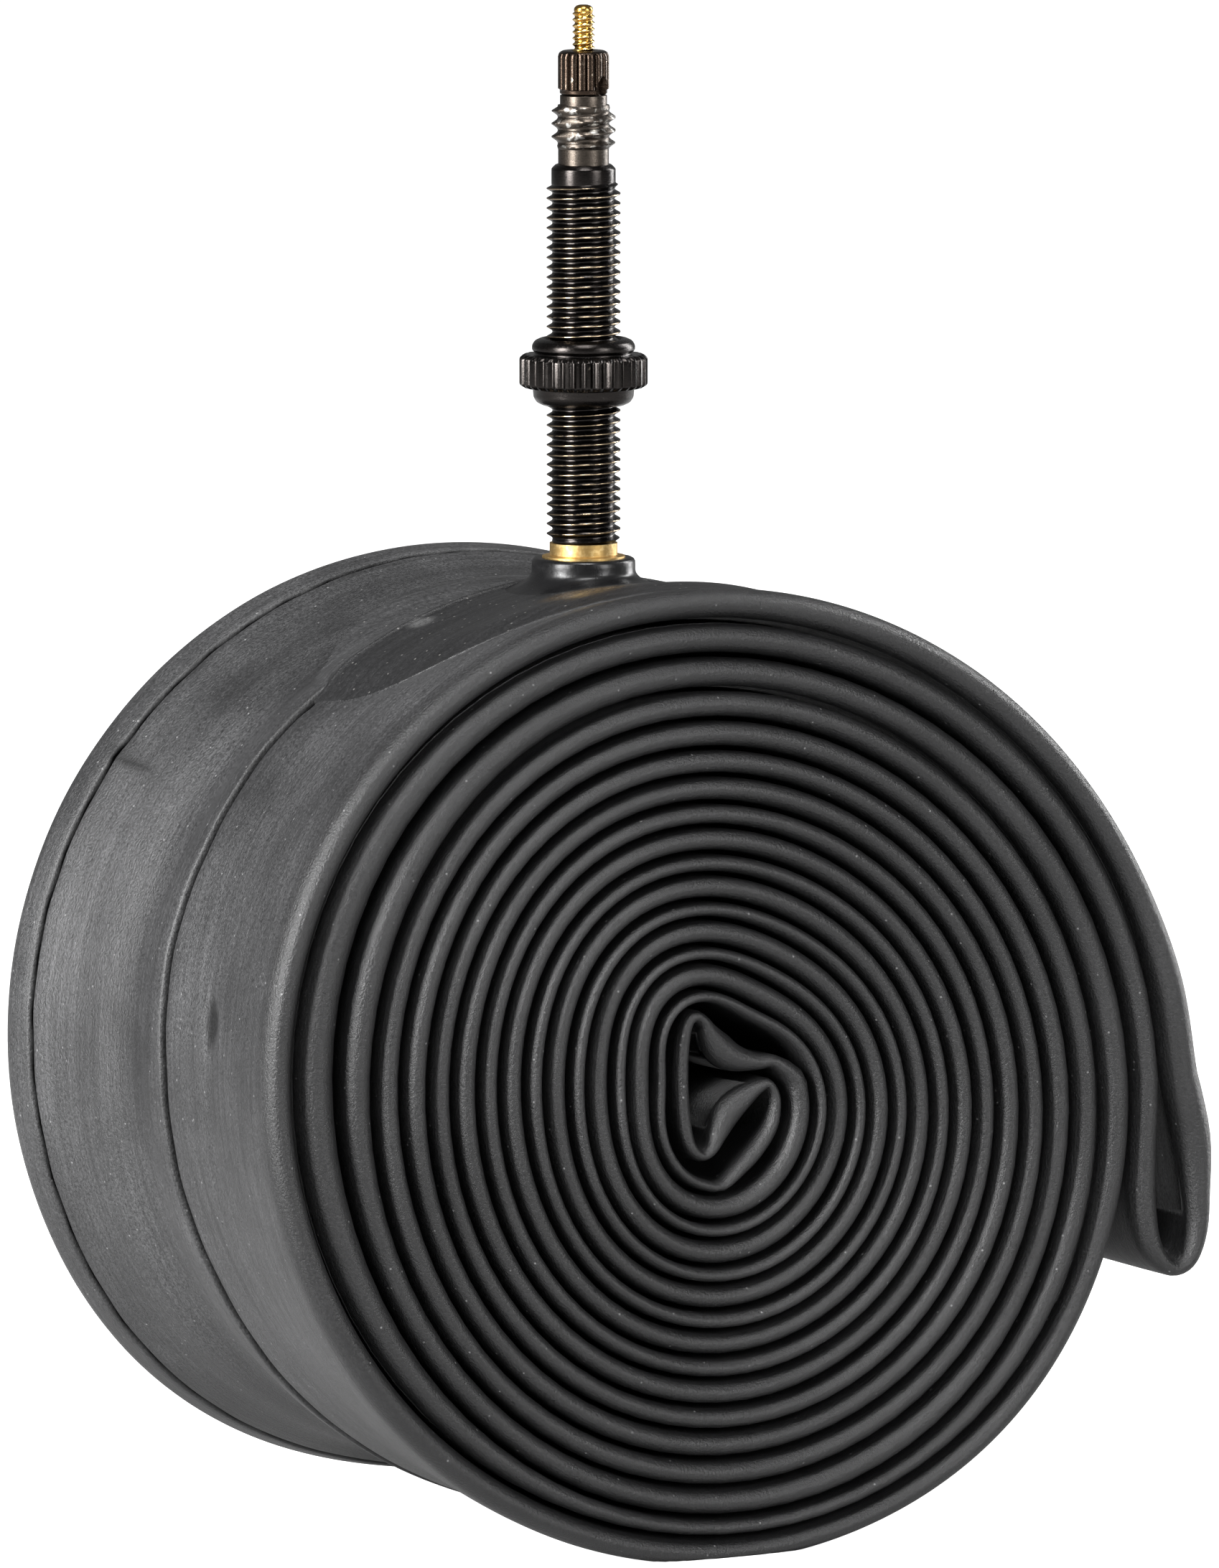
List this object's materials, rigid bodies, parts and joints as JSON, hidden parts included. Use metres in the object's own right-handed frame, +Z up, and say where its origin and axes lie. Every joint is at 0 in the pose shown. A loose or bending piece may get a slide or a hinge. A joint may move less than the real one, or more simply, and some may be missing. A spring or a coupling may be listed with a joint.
{
  "type": "inner tube",
  "caption": "Rolled bicycle inner tube with a long threaded valve: the flattened rubber loop is wound up and stands on its edge, with a knurled rim nut and a removable valve core",
  "frame": {"origin": "on the surface that the roll stands on, straight below the valve and the roll's axis", "axes": "+Z up along the valve, +Y along the roll's axis from its front edge to its back edge, +X towards the loose end of the roll"},
  "size_m": [0.088, 0.045, 0.1246],
  "materials": {
    "tube_rubber": "matte butyl rubber with a faint satin streak",
    "base_rubber": "smooth moulded rubber",
    "seal_rubber": "plain seal rubber",
    "brass": "turned brass",
    "black_nickel": "black nickel plating on brass, worn on the crests",
    "bronze": "dark nickel plating on brass, worn on the edges"
  },
  "bodies": {
    "tube": {"inner_tube": "tube_rubber", "valve_patch": "tube_rubber", "valve_base": "base_rubber", "valve_foot": "brass", "valve_stem": "black_nickel", "core_body": "bronze", "core_gasket": "seal_rubber"},
    "rim_nut": {"rim_nut": "black_nickel"},
    "pin": {"core_pin": "brass", "pin_seal": "seal_rubber", "seal_cup": "brass"},
    "lock_nut": {"lock_nut": "bronze"}
  },
  "joints": [
    {"name": "rim_nut_travel", "type": "slide", "parent": "tube", "child": "rim_nut", "axis": [0, 0, 1], "range_m": [-0.012, 0.0125]},
    {"name": "pin_press", "type": "slide", "parent": "tube", "child": "pin", "axis": [0, 0, 1], "range_m": [-0.0024, 0]},
    {"name": "lock_nut_lift", "type": "slide", "parent": "pin", "child": "lock_nut", "axis": [0, 0, 1], "range_m": [0, 0.003]}
  ],
  "couplings": [
    {"joint": "pin_press", "follows": "lock_nut_lift", "ratio": -0.8}
  ]
}
